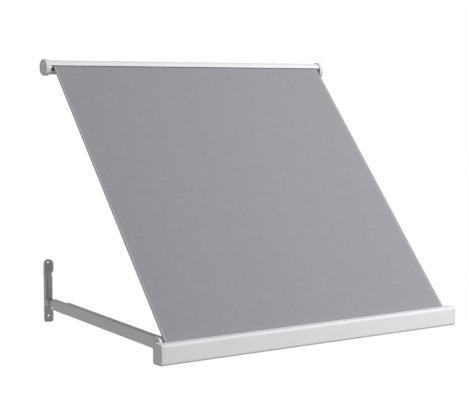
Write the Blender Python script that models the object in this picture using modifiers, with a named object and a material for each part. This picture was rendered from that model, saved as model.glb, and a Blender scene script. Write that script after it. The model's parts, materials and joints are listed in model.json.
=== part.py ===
"""Drop-arm window awning with a round cassette, let out over its window.

The wall is the plane y = 0 and the awning stands in front of it, at negative y.
X runs along the width with 0 at the middle, and z = 0 is the height of the arm pivots.
The roller in the cassette holds the fabric, and two arms, pushed down by springs,
hold the front bar that the fabric ends in.
"""

import math

import bmesh
import bpy
from mathutils import Vector

MM = 0.001

# Fits
GAP = 0.3 * MM
SIDE_PLAY = 0.4 * MM

# Whole awning
OVERALL_WIDTH = 1504 * MM
AXIS_HEIGHT = 1028.5 * MM
AXIS_DEPTH = 54 * MM

# Cassette profile: a round shell with a mouth, and a rail along its back
SHELL_RADIUS = 30.3 * MM
SHELL_WALL = 1.6 * MM
UPPER_LIP_ANGLE = 18.9
LOWER_LIP_ANGLE = -31.0
LIP_BEAD_RADIUS = 1.4 * MM
RAIL_HALF_HEIGHT = 12 * MM
RAIL_WALL = 2 * MM
RAIL_LIP = 5 * MM
RAIL_STANDOFF = 5.7 * MM

# Cassette end caps
CAP_RADIUS = 35.5 * MM
CAP_DISC = 4 * MM
CAP_SKIRT = 17 * MM
CAP_RIM = 6 * MM
CAP_DISH = 1.2 * MM
CAP_EDGE = 2.5 * MM
CAP_BOSS_RADIUS = 11 * MM
CAP_BOSS = 6 * MM
INLET_RADIUS = 4 * MM
GROMMET_RADIUS = 6.5 * MM
GROMMET_LIP = 1.5 * MM

# Clips that hold the cassette on the wall
CLIP_INSET = 172 * MM
CLIP_WIDTH = 40 * MM
CLIP_WALL = 3 * MM
CLIP_JAW = 2.5 * MM
CLIP_BITE = 4 * MM
PLATE_WIDTH = 92 * MM
PLATE_HEIGHT = 50 * MM
PLATE_THICKNESS = 4 * MM
PLATE_CORNER = 6 * MM
PLATE_HOLE_RADIUS = 3.5 * MM
PLATE_HOLE_EDGE = 12 * MM
LOCK_SCREW_RADIUS = 2 * MM
LOCK_HEAD_RADIUS = 4.2 * MM
LOCK_HEAD = 3 * MM

# Roller, its idler and pin, and the tube motor
ROLLER_RADIUS = 20 * MM
ROLLER_WALL = 1.5 * MM
ROLLER_END = 29 * MM
IDLER_PLUG = 22 * MM
IDLER_FLANGE = 3 * MM
ROLLER_PIN_RADIUS = 6 * MM
MOTOR_RADIUS = 17.5 * MM
MOTOR_LENGTH = 430 * MM
MOTOR_HEAD_RADIUS = 25 * MM
MOTOR_HEAD = 13 * MM
DRIVE_WHEEL = 16 * MM
DRIVE_SHAFT_RADIUS = 5 * MM
DRIVE_SHAFT = 14 * MM

# Fabric and the rod in its hem
FABRIC_THICKNESS = 0.6 * MM
FABRIC_INSET = 36.7 * MM
ROD_RADIUS = 3 * MM
ROLLER_WRAP = 330.0
HEM_WRAP = 300.0

# Arms
ARM_INSET = 22 * MM
ARM_LENGTH = 924 * MM
ARM_DROOP = 1.625
ARM_CLOSED_LEAN = 3.2
ARM_THICKNESS = 28 * MM
ARM_HEIGHT = 48.5 * MM
ARM_WALL = 2 * MM
ARM_CORNER = 3 * MM
PIVOT_DEPTH = 34 * MM
PIVOT_PIN_RADIUS = 5 * MM
PIN_HEAD_RADIUS = 7.5 * MM
PIN_HEAD = 1.6 * MM
PIN_END = 2.5 * MM
BUSH_WALL = 2.7 * MM
BUSH_FLANGE = 3.4 * MM
BUSH_FLANGE_RADIUS = 10.5 * MM

# Arm heel: the thin casting at the wall end
HEEL_THICKNESS = 13 * MM
HEEL_KNUCKLE = 12 * MM
HEEL_NECK = 36 * MM
HEEL_STEP = 0.75 * MM
HEEL_CORNER = 5 * MM
HEEL_COLLAR = 10 * MM
TUBE_START = 158 * MM
SOCKET_LENGTH = 40 * MM
LUG_RADIUS = 3 * MM
LUG_REACH = 46 * MM

# Arm tip: the casting at the bar end
TIP_LENGTH = 34 * MM

# Wall bracket of an arm
CHANNEL_WIDTH = 32.5 * MM
CHANNEL_WALL = 3 * MM
CHANNEL_DEPTH = 21 * MM
FLOOR_THICKNESS = 4 * MM
HEAD_WIDTH = 42 * MM
HEAD_RIM = 14 * MM
TAB_WIDTH = 42 * MM
TAB_BOTTOM = -88 * MM
TAB_TOP = -40 * MM
TAB_RIM = 8 * MM
TAB_CORNER = 10 * MM
TAB_HOLE_HEIGHT = -60.7 * MM
WALL_HOLE_RADIUS = 4.5 * MM
HOUSING_BOTTOM = 22 * MM
HOUSING_WALL = 2 * MM
CUP_RADIUS = 17 * MM
CUP_WALL = 3 * MM
EAR_RADIUS = 13 * MM
CHANNEL_BOTTOM = -30 * MM
OUTLINE_CORNER = 6 * MM

# Buffer that the closed arm leans on
BUFFER_RADIUS = 5.5 * MM
BUFFER_HEIGHT = 153.5 * MM
BUFFER_EDGE = 1.5 * MM

# Heights on the bracket's head, counted up or down from the buffer
HEAD_TOP_RISE = 37 * MM
HEAD_HOLE_RISE = 23 * MM
SHOULDER_DROP = 8.5 * MM
HEAD_START_DROP = 13.5 * MM
CHANNEL_TOP_DROP = 27.5 * MM
NECK_DROP = 32.5 * MM
STEP_DROP = 41.5 * MM

# Spring on each arm pivot
SPRING_RADIUS = 8.6 * MM
SPRING_WIRE = 1.2 * MM
SPRING_TURNS = 2
SPRING_LEG = 45 * MM
SPRING_SIDES = 12

# Front bar
BAR_DEPTH = 66 * MM
BAR_HEIGHT = 81.4 * MM
BAR_CORNER = 11 * MM
BAR_WALL = 2.5 * MM
JOINT_BEHIND_BAR = 7.9 * MM
JOINT_BELOW_TOP = 8.2 * MM
ROD_BEHIND_FRONT = 41.4 * MM
GROOVE_WALL = 2 * MM
SLOT_WIDTH = 4 * MM
NOTCH_FRONT_GAP = 2.2 * MM
BAR_CAP = 12 * MM
BAR_CAP_EDGE = 2 * MM
BAR_CAP_PLUG = 5 * MM

# Hinge of an arm in the bar
CHEEK = 3 * MM
HINGE_WEB = 4 * MM
HINGE_EAR = 13 * MM
HINGE_TOP = -9 * MM
HINGE_SHOULDER = 26 * MM
HINGE_CORNER = 9 * MM

# Facets
ARC_STEP = math.radians(7.5)
FILLET_STEP = math.radians(15)
EDGE_STEP = math.radians(30)
CAP_STEPS = 48
ROUND_STEPS = 32
SMALL_ROUND_STEPS = 24
SHARP_ANGLE = math.radians(35)
WELD = 0.001 * MM
THROUGH = 5 * MM

# How a drawing lies: its u and v along world X and Z, or along world Y and Z
FACE_ON = (math.pi / 2, 0, 0)
SIDE_ON = (math.pi / 2, 0, math.pi / 2)

LEFT = -1
RIGHT = 1
SIDE_NAMES = {LEFT: "left", RIGHT: "right"}


for old in list(bpy.data.objects):
    bpy.data.objects.remove(old, do_unlink=True)

parts = bpy.data.collections.new("fabric_awning")
cutters = bpy.data.collections.new("cutters")
bpy.context.scene.collection.children.link(parts)
bpy.context.scene.collection.children.link(cutters)


# Materials


def principled(name, colour, roughness, metallic=0.0):
    """A material with the colour, roughness and metal of one real finish."""
    made = bpy.data.materials.new(name)
    made.use_nodes = True
    shader = made.node_tree.nodes["Principled BSDF"]
    shader.inputs["Base Color"].default_value = (*colour, 1.0)
    shader.inputs["Roughness"].default_value = roughness
    shader.inputs["Metallic"].default_value = metallic
    return made


white_coat = principled("white_powder_coat", (0.80, 0.80, 0.80), 0.4)
white_plastic = principled("white_plastic", (0.78, 0.78, 0.77), 0.45)
white_cast = principled("coated_cast_aluminium", (0.78, 0.78, 0.78), 0.5)
plain_steel = principled("zinc_plated_steel", (0.55, 0.55, 0.55), 0.35, 1.0)
mill_aluminium = principled("mill_aluminium", (0.6, 0.6, 0.6), 0.4, 1.0)
black_plastic = principled("black_plastic", (0.03, 0.03, 0.03), 0.5)
rubber = principled("grey_rubber", (0.34, 0.34, 0.35), 0.8)
acrylic_cloth = principled("grey_acrylic_cloth", (0.33, 0.34, 0.36), 0.9)


# Drawing helpers


def arc(centre, radius, start, end, step=ARC_STEP):
    """Points on an arc from one angle to another, both in radians."""
    count = max(2, math.ceil(abs(end - start) / step))
    points = []
    for index in range(count + 1):
        angle = start + (end - start) * index / count
        points.append((centre[0] + radius * math.cos(angle), centre[1] + radius * math.sin(angle)))
    return points


def filleted(corners):
    """A closed outline from corners (u, v, radius), with each corner rounded by its radius."""
    points = []
    for index, (u, v, radius) in enumerate(corners):
        corner = Vector((u, v))
        if radius == 0:
            points.append((u, v))
            continue
        before = (Vector(corners[index - 1][:2]) - corner).normalized()
        after = (Vector(corners[(index + 1) % len(corners)][:2]) - corner).normalized()
        half = before.angle(after) / 2
        centre = corner + (before + after).normalized() * (radius / math.sin(half))
        first = corner + before * (radius / math.tan(half)) - centre
        last = corner + after * (radius / math.tan(half)) - centre
        start = math.atan2(first.y, first.x)
        turn = math.atan2(first.x * last.y - first.y * last.x, first.dot(last))
        points += arc(centre, radius, start, start + turn, FILLET_STEP)
    return points


def inset(corners, distance):
    """The same outline drawn counter-clockwise, moved inwards, with its fillets kept concentric."""
    moved = []
    for index, (u, v, radius) in enumerate(corners):
        corner = Vector((u, v))
        before = (corner - Vector(corners[index - 1][:2])).normalized()
        after = (Vector(corners[(index + 1) % len(corners)][:2]) - corner).normalized()
        turn = before.x * after.y - before.y * after.x
        inward = Vector((-before.y, before.x)) + Vector((-after.y, after.x))
        new = corner + inward * (distance / (1 + before.dot(after)))
        new_radius = radius - distance if turn > 0 else radius + distance
        moved.append((new.x, new.y, max(new_radius, 0)))
    return moved


def rectangle(left, bottom, right, top, radius=0.0):
    """Corners of an upright rectangle, counter-clockwise."""
    return [(left, bottom, radius), (right, bottom, radius), (right, top, radius), (left, top, radius)]


def empty(name, location, tilt=0.0):
    """An axis that moving pieces hang on."""
    made = bpy.data.objects.new(name, None)
    made.location = location
    made.rotation_euler = (tilt, 0, 0)
    parts.objects.link(made)
    return made


def place(made, location, rotation, parent, material):
    made.location = location
    made.rotation_euler = rotation
    made.parent = parent
    if material:
        made.data.materials.append(material)
        parts.objects.link(made)
    else:
        cutters.objects.link(made)
        made.hide_render = True
        made.display_type = "WIRE"
    return made


def extruded(name, loops, thickness, location, rotation, parent=None, material=None):
    """A flat outline with its holes, given a thickness centred on the drawing plane."""
    curve = bpy.data.curves.new(name, "CURVE")
    curve.dimensions = "2D"
    curve.fill_mode = "BOTH"
    curve.extrude = thickness / 2
    for loop in loops:
        spline = curve.splines.new("POLY")
        spline.points.add(len(loop) - 1)
        spline.use_cyclic_u = True
        for point, (u, v) in zip(spline.points, loop):
            point.co = (u, v, 0, 1)
    drawing = bpy.data.objects.new(name + "_drawing", curve)
    return solid_from_curve(drawing, name, location, rotation, parent, material)


def solid_from_curve(drawing, name, location, rotation, parent, material):
    """Turn a curve object into a welded mesh object, and remove the curve."""
    bpy.context.scene.collection.objects.link(drawing)
    evaluated = drawing.evaluated_get(bpy.context.evaluated_depsgraph_get())
    mesh = bpy.data.meshes.new_from_object(evaluated)
    curve = drawing.data
    bpy.data.objects.remove(drawing)
    bpy.data.curves.remove(curve)
    shape = bmesh.new()
    shape.from_mesh(mesh)
    bmesh.ops.remove_doubles(shape, verts=shape.verts, dist=WELD)
    bmesh.ops.recalc_face_normals(shape, faces=shape.faces)
    shape.to_mesh(mesh)
    shape.free()
    mesh.name = name
    mesh.materials.clear()
    mesh.shade_smooth()
    mesh.set_sharp_from_angle(angle=SHARP_ANGLE)
    return place(bpy.data.objects.new(name, mesh), location, rotation, parent, material)


def turned(name, profile, location, side, parent=None, material=None, steps=ROUND_STEPS, ring=False):
    """A piece turned about X. The profile is (radius, distance outboard), outboard end first."""
    mesh = bpy.data.meshes.new(name)
    edges = [(index, index + 1) for index in range(len(profile) - 1)]
    if ring:
        edges.append((len(profile) - 1, 0))
    mesh.from_pydata([(radius, 0, outboard) for radius, outboard in profile], edges, [])
    made = bpy.data.objects.new(name, mesh)
    place(made, location, (0, side * math.pi / 2, 0), parent, material)
    spin = made.modifiers.new("turned", "SCREW")
    spin.axis = "Z"
    spin.steps = steps
    spin.render_steps = steps
    spin.use_merge_vertices = True
    spin.merge_threshold = WELD
    spin.use_smooth_shade = True
    return made


def cylinder(name, radius, outer_end, inner_end, location, side, parent=None, material=None):
    """A plain round bar between two distances outboard."""
    profile = [(0, outer_end), (radius, outer_end), (radius, inner_end), (0, inner_end)]
    return turned(name, profile, location, side, parent, material, SMALL_ROUND_STEPS)


def combine(target, tool, operation):
    boolean = target.modifiers.new(operation.lower(), "BOOLEAN")
    boolean.operation = operation
    boolean.solver = "EXACT"
    boolean.object = tool


# Places that several pieces share

half_width = OVERALL_WIDTH / 2
axis = Vector((0, -AXIS_DEPTH, AXIS_HEIGHT))
pivot = Vector((0, -PIVOT_DEPTH, 0))
droop = math.radians(ARM_DROOP)
joint = pivot + Vector((0, -math.cos(droop), -math.sin(droop))) * ARM_LENGTH

arm_outer = half_width - ARM_INSET
arm_middle = arm_outer - ARM_THICKNESS / 2
hinge_width = ARM_THICKNESS + 2 * (SIDE_PLAY + CHEEK)
bush_radius = PIVOT_PIN_RADIUS + GAP + BUSH_WALL
bush_bore = PIVOT_PIN_RADIUS + GAP
bush_seat = bush_radius + GAP
bracket_outer = arm_outer + GAP + BUSH_FLANGE + GAP + CHANNEL_WALL
bracket_inner = bracket_outer - CHANNEL_WIDTH
heel_middle = arm_outer - HEEL_THICKNESS / 2
heel_inner = arm_outer - HEEL_THICKNESS
housing_outer = heel_inner - SIDE_PLAY
cup_middle = bracket_outer - HEAD_WIDTH + CHANNEL_WALL / 2 + CUP_RADIUS
head_top = BUFFER_HEIGHT + HEAD_TOP_RISE
head_hole_height = BUFFER_HEIGHT + HEAD_HOLE_RISE
head_start = BUFFER_HEIGHT - HEAD_START_DROP
channel_top = BUFFER_HEIGHT - CHANNEL_TOP_DROP
housing_neck = BUFFER_HEIGHT - NECK_DROP

cap_bore = SHELL_RADIUS + GAP
cap_inner = half_width - CAP_DISC
shell_half = cap_inner - GAP
fabric_width = OVERALL_WIDTH - 2 * FABRIC_INSET

bar_rear = -JOINT_BEHIND_BAR
bar_front = bar_rear - BAR_DEPTH
bar_top = JOINT_BELOW_TOP
bar_bottom = bar_top - BAR_HEIGHT
bar_half = half_width - BAR_CAP - GAP

groove_radius = ROD_RADIUS + FABRIC_THICKNESS + 2 * GAP
housing_radius = groove_radius + GROOVE_WALL
groove = Vector((bar_front + ROD_BEHIND_FRONT, bar_top - BAR_WALL - groove_radius))
notch_front = -ARM_HEIGHT / 2 - NOTCH_FRONT_GAP

# The fabric leaves the roller and meets the rod on one straight line.
roll_radius = ROLLER_RADIUS + GAP + FABRIC_THICKNESS / 2
hem_radius = ROD_RADIUS + GAP + FABRIC_THICKNESS / 2
roller_point = Vector((axis.y, axis.z))
rod_point = Vector((joint.y, joint.z)) + groove
between = rod_point - roller_point
fabric_angle = math.atan2(between.y, between.x)
fabric_angle += math.asin((roll_radius - hem_radius) / between.length)
along = Vector((math.cos(fabric_angle), math.sin(fabric_angle)))
leaving_angle = fabric_angle - math.pi / 2

roller_axis = empty("roller_axis", axis)
bar_axis = empty("bar_axis", joint)
arm_axes = {side: empty("arm_axis_" + SIDE_NAMES[side], pivot, droop) for side in (LEFT, RIGHT)}


# Cassette


def shell_angle(degrees_up):
    """An angle above the horizontal front of the cassette, as an angle in the side drawing."""
    return math.pi - math.radians(degrees_up)


def cassette_profile():
    """The round shell, its two beaded lips, and the rail with turned-out lips along its back."""
    upper = shell_angle(UPPER_LIP_ANGLE)
    lower = shell_angle(LOWER_LIP_ANGLE) - 2 * math.pi
    outer = SHELL_RADIUS
    inner = SHELL_RADIUS - SHELL_WALL
    bead_ring = SHELL_RADIUS - LIP_BEAD_RADIUS
    bead_turn = 2 * LIP_BEAD_RADIUS / SHELL_RADIUS
    back = SHELL_RADIUS + RAIL_STANDOFF
    rail_in = RAIL_HALF_HEIGHT - RAIL_WALL
    rail_out = RAIL_HALF_HEIGHT
    rail_tip = RAIL_HALF_HEIGHT + RAIL_LIP
    def bead(angle, way):
        centre = (bead_ring * math.cos(angle), bead_ring * math.sin(angle))
        outward = angle if way > 0 else angle + math.pi
        return arc(centre, LIP_BEAD_RADIUS, outward, outward + math.pi, FILLET_STEP)

    outline = arc((0, 0), outer, upper, lower)
    outline += reversed(bead(lower, -1)[:-1])
    outline += arc((0, 0), inner, lower + bead_turn, upper - bead_turn)
    outline += reversed(bead(upper, 1)[1:])
    shell = extruded(
        "cassette_profile", [outline], 2 * shell_half, axis, SIDE_ON, material=white_coat
    )
    rib_start = math.sqrt((outer - SHELL_WALL / 2) ** 2 - rail_out**2)
    rib = [
        (rib_start, rail_in),
        (back, rail_in),
        (back, rail_tip),
        (back - RAIL_WALL, rail_tip),
        (back - RAIL_WALL, rail_out),
        (rib_start, rail_out),
    ]
    ribs = [rib, [(u, -v) for u, v in rib]]
    rail_half = cap_inner - CAP_SKIRT - GAP
    rail = extruded("rail", ribs, 2 * rail_half, axis, SIDE_ON)
    combine(shell, rail, "UNION")


def end_cap(side):
    """A cup over the end of the shell, with a dished face inside a flat rim."""
    rim_inner = CAP_RADIUS - CAP_RIM
    edge_ring = CAP_RADIUS - CAP_EDGE
    skirt_end = -CAP_DISC - CAP_SKIRT
    profile = [(0, -CAP_DISH), (rim_inner - CAP_DISH, -CAP_DISH), (rim_inner, 0)]
    profile += reversed(arc((edge_ring, -CAP_EDGE), CAP_EDGE, 0, math.pi / 2, EDGE_STEP))
    profile += [(CAP_RADIUS, skirt_end), (cap_bore, skirt_end), (cap_bore, -CAP_DISC)]
    if side == LEFT:
        pin_seat = ROLLER_PIN_RADIUS + GAP
        boss_end = -CAP_DISC - CAP_BOSS
        profile += [(CAP_BOSS_RADIUS, -CAP_DISC), (CAP_BOSS_RADIUS, boss_end)]
        profile += [(pin_seat, boss_end), (pin_seat, -CAP_DISC)]
    profile += [(0, -CAP_DISC)]
    name = "end_cap_" + SIDE_NAMES[side]
    middle = (side * half_width, axis.y, axis.z)
    return turned(name, profile, middle, side, material=white_plastic, steps=CAP_STEPS)


def cable_inlet(cap):
    """The hole for the motor's cable at the back of the right cap, and the grommet in it."""
    inlet = cap_inner - CAP_SKIRT / 2
    skirt = CAP_RADIUS - cap_bore
    outer_face = skirt / 2
    middle = axis + Vector((inlet, cap_bore + outer_face, 0))
    bore = INLET_RADIUS + GROMMET_LIP
    hole = turned(
        "inlet_cutter",
        [(0, skirt), (bore + GAP, skirt), (bore + GAP, -skirt), (0, -skirt)],
        middle,
        RIGHT,
        steps=SMALL_ROUND_STEPS,
    )
    hole.rotation_euler = (-math.pi / 2, 0, 0)
    combine(cap, hole, "DIFFERENCE")
    collar = outer_face + GAP
    profile = [
        (INLET_RADIUS, collar + GROMMET_LIP),
        (GROMMET_RADIUS, collar + GROMMET_LIP),
        (GROMMET_RADIUS + GROMMET_LIP, collar),
        (bore, collar),
        (bore, -outer_face),
        (INLET_RADIUS, -outer_face),
    ]
    grommet = turned(
        "cable_grommet", profile, middle, RIGHT, material=black_plastic, steps=SMALL_ROUND_STEPS, ring=True
    )
    grommet.rotation_euler = (-math.pi / 2, 0, 0)


def cassette_clip(side):
    """The wall clip: a screwed plate with jaws that hold the rail, and the screw that locks it."""
    middle = side * (half_width - CLIP_INSET)
    name = "cassette_clip_" + SIDE_NAMES[side]
    back = AXIS_DEPTH
    plate_front = back - PLATE_THICKNESS
    rail_back = SHELL_RADIUS + RAIL_STANDOFF
    rail_front = rail_back - RAIL_WALL
    jaw_in = RAIL_HALF_HEIGHT + RAIL_LIP + GAP
    jaw_out = jaw_in + CLIP_WALL
    jaw_front = rail_front - GAP - CLIP_JAW
    jaw_tip = jaw_in - GAP - CLIP_BITE
    seat = rail_back + GAP
    upper = [
        (plate_front + WELD, jaw_out),
        (jaw_front, jaw_out),
        (jaw_front, jaw_tip),
        (rail_front - GAP, jaw_tip),
        (rail_front - GAP, jaw_in),
        (seat, jaw_in),
    ]
    outline = upper + [(u, -v) for u, v in reversed(upper)]
    hollow = filleted(rectangle(seat + CLIP_WALL, -jaw_in, plate_front - GAP, jaw_in))
    clip = extruded(
        name + "_jaws", [outline, hollow], CLIP_WIDTH, (middle, axis.y, axis.z), SIDE_ON
    )
    plate_outline = filleted(
        rectangle(-PLATE_WIDTH / 2, -PLATE_HEIGHT / 2, PLATE_WIDTH / 2, PLATE_HEIGHT / 2, PLATE_CORNER)
    )
    holes = []
    for way in (LEFT, RIGHT):
        centre = (way * (PLATE_WIDTH / 2 - PLATE_HOLE_EDGE), 0)
        holes.append(arc(centre, PLATE_HOLE_RADIUS, 0, 2 * math.pi, FILLET_STEP)[:-1])
    plate = extruded(
        name,
        [plate_outline] + holes,
        PLATE_THICKNESS,
        (middle, -PLATE_THICKNESS / 2, axis.z),
        FACE_ON,
        material=plain_steel,
    )
    combine(plate, clip, "UNION")

    screw_depth = axis.y + rail_back - RAIL_WALL / 2
    jaw_bottom = axis.z - jaw_out
    bore = cylinder(
        name + "_screw_cutter",
        LOCK_SCREW_RADIUS + GAP,
        CLIP_WALL + THROUGH,
        -THROUGH,
        (middle, screw_depth, jaw_bottom),
        RIGHT,
    )
    bore.rotation_euler = (0, 0, 0)
    combine(plate, bore, "DIFFERENCE")
    screw = turned(
        "clip_screw_" + SIDE_NAMES[side],
        [
            (0, CLIP_WALL),
            (LOCK_SCREW_RADIUS, CLIP_WALL),
            (LOCK_SCREW_RADIUS, -GAP),
            (LOCK_HEAD_RADIUS, -GAP),
            (LOCK_HEAD_RADIUS, -GAP - LOCK_HEAD),
            (0, -GAP - LOCK_HEAD),
        ],
        (middle, screw_depth, jaw_bottom),
        RIGHT,
        material=plain_steel,
        steps=SMALL_ROUND_STEPS,
    )
    screw.rotation_euler = (0, 0, 0)


# Roller and motor


def roller():
    """The slotted tube's plain outer form, open at both ends."""
    inner = ROLLER_RADIUS - ROLLER_WALL
    half = half_width - ROLLER_END
    profile = [(inner, half), (ROLLER_RADIUS, half), (ROLLER_RADIUS, -half), (inner, -half)]
    turned("roller_tube", profile, (0, 0, 0), RIGHT, roller_axis, mill_aluminium, ring=True)


def roller_idler():
    """The plug in the left end of the roller, and the fixed pin that it turns on."""
    bore = ROLLER_PIN_RADIUS + GAP
    plug_radius = ROLLER_RADIUS - ROLLER_WALL - GAP
    tube_end = half_width - ROLLER_END
    profile = [
        (bore, GAP + IDLER_FLANGE),
        (ROLLER_RADIUS, GAP + IDLER_FLANGE),
        (ROLLER_RADIUS, GAP),
        (plug_radius, GAP),
        (plug_radius, -IDLER_PLUG),
        (bore, -IDLER_PLUG),
    ]
    turned("roller_idler", profile, (-tube_end, 0, 0), LEFT, roller_axis, black_plastic, ring=True)
    pin_inner = tube_end - IDLER_PLUG
    middle = (0, axis.y, axis.z)
    cylinder("roller_pin", ROLLER_PIN_RADIUS, cap_inner - GAP, pin_inner, middle, LEFT, None, plain_steel)


def tube_motor():
    """The motor in the right end of the roller, with its head on the cap, and its drive wheel."""
    head_outer = cap_inner - GAP
    body_outer = head_outer - MOTOR_HEAD
    body_inner = body_outer - MOTOR_LENGTH
    socket = DRIVE_SHAFT_RADIUS + GAP
    profile = [
        (0, head_outer),
        (MOTOR_HEAD_RADIUS, head_outer),
        (MOTOR_HEAD_RADIUS, body_outer),
        (MOTOR_RADIUS, body_outer),
        (MOTOR_RADIUS, body_inner),
        (socket, body_inner),
        (socket, body_inner + DRIVE_SHAFT + GAP),
        (0, body_inner + DRIVE_SHAFT + GAP),
    ]
    turned("tube_motor", profile, (0, axis.y, axis.z), RIGHT, material=black_plastic)
    wheel_radius = ROLLER_RADIUS - ROLLER_WALL - GAP
    wheel_outer = body_inner - GAP
    profile = [
        (0, wheel_outer + DRIVE_SHAFT),
        (DRIVE_SHAFT_RADIUS, wheel_outer + DRIVE_SHAFT),
        (DRIVE_SHAFT_RADIUS, wheel_outer),
        (wheel_radius, wheel_outer),
        (wheel_radius, wheel_outer - DRIVE_WHEEL),
        (0, wheel_outer - DRIVE_WHEEL),
    ]
    turned("drive_wheel", profile, (0, 0, 0), RIGHT, roller_axis, black_plastic)


# Fabric


def fabric():
    """One strip: round the roller, down the straight run, and round the rod in the bar."""
    half = FABRIC_THICKNESS / 2
    roll_start = leaving_angle - math.radians(ROLLER_WRAP)
    hem_end = leaving_angle + math.radians(HEM_WRAP)
    sides = []
    for offset in (half, -half):
        run = arc(roller_point, roll_radius + offset, roll_start, leaving_angle)
        run += arc(rod_point, hem_radius + offset, leaving_angle, hem_end, FILLET_STEP)
        sides.append(run)
    outline = sides[0] + list(reversed(sides[1]))
    extruded("fabric", [outline], fabric_width, (0, 0, 0), SIDE_ON, material=acrylic_cloth)


def hem_rod():
    half = fabric_width / 2
    cylinder("hem_rod", ROD_RADIUS, half, -half, (0, groove.x, groove.y), RIGHT, bar_axis, black_plastic)


# Arms


def arm_section(shrink):
    """The arm's rectangle seen along its length, moved inwards by a distance."""
    half_thickness = ARM_THICKNESS / 2 - shrink
    half_height = ARM_HEIGHT / 2 - shrink
    corner = max(ARM_CORNER - shrink, 0)
    return filleted(rectangle(-half_thickness, -half_height, half_thickness, half_height, corner))


def across_arm(name, section, start, end, side, material=None):
    """A length of arm section between two distances from the pivot."""
    middle = (side * arm_middle, -(start + end) / 2, 0)
    return extruded(name, section, end - start, middle, FACE_ON, arm_axes[side], material)


def arm_tube(side):
    start = TUBE_START + GAP
    end = ARM_LENGTH - TIP_LENGTH - GAP
    section = [arm_section(0), arm_section(ARM_WALL)]
    across_arm("arm_tube_" + SIDE_NAMES[side], section, start, end, side, white_coat)


def arm_heel(side):
    """The thin casting on the wall pivot, its collar and plug for the tube, and the spring's lug."""
    name = "arm_heel_" + SIDE_NAMES[side]
    half = ARM_HEIGHT / 2 - HEEL_STEP
    knuckle = HEEL_KNUCKLE
    knuckle_fillet = knuckle - WELD
    corners = [
        (knuckle, -knuckle, knuckle_fillet),
        (knuckle, knuckle, knuckle_fillet),
        (-HEEL_NECK, knuckle, HEEL_CORNER),
        (-HEEL_NECK, half, HEEL_CORNER),
        (-TUBE_START + HEEL_COLLAR / 2, half, 0),
        (-TUBE_START + HEEL_COLLAR / 2, -half, 0),
        (-HEEL_NECK, -half, HEEL_CORNER),
        (-HEEL_NECK, -knuckle, HEEL_CORNER),
    ]
    blade = extruded(
        name,
        [filleted(corners)],
        HEEL_THICKNESS,
        (side * heel_middle, 0, 0),
        SIDE_ON,
        arm_axes[side],
        white_cast,
    )
    collar = across_arm(name + "_collar", [arm_section(0)], TUBE_START - HEEL_COLLAR, TUBE_START, side)
    plug_section = arm_section(ARM_WALL + GAP)
    plug = across_arm(name + "_plug", [plug_section], TUBE_START - WELD, TUBE_START + SOCKET_LENGTH, side)
    spring_room = bracket_inner + CHANNEL_WALL
    lug_height = SPRING_RADIUS - SPRING_WIRE - GAP - LUG_RADIUS
    lug = cylinder(
        name + "_lug",
        LUG_RADIUS,
        heel_inner + THROUGH,
        spring_room + SIDE_PLAY,
        (0, -LUG_REACH, lug_height),
        side,
        arm_axes[side],
    )
    combine(collar, plug, "UNION")
    combine(blade, collar, "UNION")
    combine(blade, lug, "UNION")
    bore = cylinder(
        name + "_bore",
        bush_seat,
        arm_outer + THROUGH,
        heel_inner - THROUGH,
        (0, 0, 0),
        side,
        arm_axes[side],
    )
    combine(blade, bore, "DIFFERENCE")


def heel_bush(side):
    """The flanged bush between the heel and its pin, which also keeps the heel off the bracket."""
    flange_face = arm_outer + GAP
    profile = [
        (bush_bore, flange_face + BUSH_FLANGE),
        (BUSH_FLANGE_RADIUS, flange_face + BUSH_FLANGE),
        (BUSH_FLANGE_RADIUS, flange_face),
        (bush_radius, flange_face),
        (bush_radius, heel_inner),
        (bush_bore, heel_inner),
    ]
    name = "heel_bush_" + SIDE_NAMES[side]
    turned(name, profile, (0, 0, 0), side, arm_axes[side], black_plastic, SMALL_ROUND_STEPS, True)


def arm_tip(side):
    """The round-nosed casting that turns in the bar, with its plug for the tube."""
    name = "arm_tip_" + SIDE_NAMES[side]
    half = ARM_HEIGHT / 2
    nose = half - WELD
    start = ARM_LENGTH - TIP_LENGTH
    corners = [
        (-ARM_LENGTH - half, half, nose),
        (-ARM_LENGTH - half, -half, nose),
        (-start, -half, 0),
        (-start, half, 0),
    ]
    nose_piece = extruded(
        name,
        [filleted(corners)],
        ARM_THICKNESS,
        (side * arm_middle, 0, 0),
        SIDE_ON,
        arm_axes[side],
        white_cast,
    )
    plug_section = arm_section(ARM_WALL + GAP)
    plug = across_arm(name + "_plug", [plug_section], start - SOCKET_LENGTH, start + WELD, side)
    combine(nose_piece, plug, "UNION")
    bore = cylinder(
        name + "_bore",
        bush_seat,
        arm_outer + THROUGH,
        arm_outer - ARM_THICKNESS - THROUGH,
        (0, -ARM_LENGTH, 0),
        side,
        arm_axes[side],
    )
    combine(nose_piece, bore, "DIFFERENCE")
    inner = arm_outer - ARM_THICKNESS
    profile = [(bush_bore, arm_outer), (bush_radius, arm_outer), (bush_radius, inner), (bush_bore, inner)]
    bush = "tip_bush_" + SIDE_NAMES[side]
    turned(bush, profile, (0, -ARM_LENGTH, 0), side, arm_axes[side], black_plastic, SMALL_ROUND_STEPS, True)


# Wall bracket of an arm


def bracket_outline(side, distance=0.0):
    """The bracket from the front: a round head, a narrow channel and a tab, straight outboard."""
    head_round = HEAD_WIDTH / 2 - WELD
    corners = [
        (0, TAB_BOTTOM, TAB_CORNER),
        (TAB_WIDTH, TAB_BOTTOM, TAB_CORNER),
        (TAB_WIDTH, TAB_TOP, OUTLINE_CORNER),
        (CHANNEL_WIDTH, CHANNEL_BOTTOM, OUTLINE_CORNER),
        (CHANNEL_WIDTH, channel_top, OUTLINE_CORNER),
        (HEAD_WIDTH, head_start, OUTLINE_CORNER),
        (HEAD_WIDTH, head_top, head_round),
        (0, head_top, head_round),
    ]
    points = filleted(inset(corners, distance) if distance else corners)
    return [(side * (bracket_outer - u), v) for u, v in points]


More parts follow.
